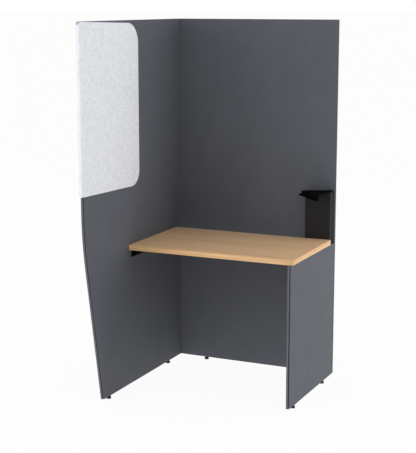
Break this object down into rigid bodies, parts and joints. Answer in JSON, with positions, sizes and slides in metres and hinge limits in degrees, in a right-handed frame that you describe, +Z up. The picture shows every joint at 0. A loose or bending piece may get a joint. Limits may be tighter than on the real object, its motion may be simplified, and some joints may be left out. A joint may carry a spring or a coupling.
{
  "type": "office booth",
  "caption": "Open corner work booth: tall back panel, tall side panel with a felt-covered front edge, wood-look desk on a short leg panel, black column with a swing tray.",
  "frame": {"origin": "on the floor, under the middle of the booth's outline", "axes": "+X to the user's right, +Y from the open front to the back panel, +Z up"},
  "size_m": [0.879, 1.03, 1.8],
  "materials": {
    "panel_board": "dark grey edged board, matt",
    "panel_face": "dark grey laminate, matt, fine grain",
    "desk_particle_board": "raw particle board",
    "desk_face": "light oak effect laminate, satin",
    "desk_edge": "light oak effect edge band, satin",
    "black_steel": "black powder coat, satin",
    "column_gloss": "black paint, half gloss",
    "zinc_steel": "zinc plated",
    "black_steel_fastener": "black oxide",
    "black_plastic": "moulded, fine grain",
    "felt": "pale grey felt, mottled",
    "tape": "woven fastening tape",
    "foam": "closed-cell foam"
  },
  "bodies": {
    "booth": {"back_panel_core": "panel_board", "back_panel_front_skin": "panel_face", "back_panel_rear_skin": "panel_face", "column_cover": "column_gloss", "column_cover_screws": "zinc_steel", "column_plate": "black_steel", "column_plate_screws": "zinc_steel", "cover_nose_core": "foam", "cover_tapes": "tape", "desk_board": "desk_particle_board", "desk_edge_band": "desk_edge", "desk_laminate": "desk_face", "desk_rail": "black_steel", "desk_rail_screws": "zinc_steel", "felt_cover": "felt", "foot_inserts": "zinc_steel", "leg_angle_screws": "zinc_steel", "leg_angles": "black_steel", "leg_panel_core": "panel_board", "leg_panel_inner_skin": "panel_face", "leg_panel_outer_skin": "panel_face", "panel_bolt_caps": "black_plastic", "panel_bolts": "zinc_steel", "panel_inserts": "zinc_steel", "side_panel_core": "panel_board", "side_panel_inner_skin": "panel_face", "side_panel_outer_skin": "panel_face", "tray_pivot_bolt": "black_steel_fastener", "tray_pivot_nut": "zinc_steel", "tray_washer": "black_plastic"},
    "tray": {"tray_plate": "black_steel", "tray_rail": "black_plastic", "tray_peg": "black_plastic", "tray_rail_screws": "zinc_steel"},
    "foot_side_front": {"foot_pad_side_front": "black_plastic", "foot_stem_side_front": "zinc_steel"},
    "foot_side_rear": {"foot_pad_side_rear": "black_plastic", "foot_stem_side_rear": "zinc_steel"},
    "foot_leg_front": {"foot_pad_leg_front": "black_plastic", "foot_stem_leg_front": "zinc_steel"},
    "foot_leg_rear": {"foot_pad_leg_rear": "black_plastic", "foot_stem_leg_rear": "zinc_steel"},
    "foot_back_left": {"foot_pad_back_left": "black_plastic", "foot_stem_back_left": "zinc_steel"},
    "foot_back_right": {"foot_pad_back_right": "black_plastic", "foot_stem_back_right": "zinc_steel"}
  },
  "joints": [
    {"name": "tray_swing", "type": "hinge", "parent": "booth", "child": "tray", "pos_m": [0.4135, 0.476, 0.956], "axis": [0, 0, 1], "range_deg": [-5, 60]},
    {"name": "foot_side_front_screw", "type": "slide", "parent": "booth", "child": "foot_side_front", "axis": [0, 0, 1], "range_m": [-0.012, 0]},
    {"name": "foot_side_rear_screw", "type": "slide", "parent": "booth", "child": "foot_side_rear", "axis": [0, 0, 1], "range_m": [-0.012, 0]},
    {"name": "foot_leg_front_screw", "type": "slide", "parent": "booth", "child": "foot_leg_front", "axis": [0, 0, 1], "range_m": [-0.012, 0]},
    {"name": "foot_leg_rear_screw", "type": "slide", "parent": "booth", "child": "foot_leg_rear", "axis": [0, 0, 1], "range_m": [-0.012, 0]},
    {"name": "foot_back_left_screw", "type": "slide", "parent": "booth", "child": "foot_back_left", "axis": [0, 0, 1], "range_m": [-0.012, 0]},
    {"name": "foot_back_right_screw", "type": "slide", "parent": "booth", "child": "foot_back_right", "axis": [0, 0, 1], "range_m": [-0.012, 0]}
  ]
}
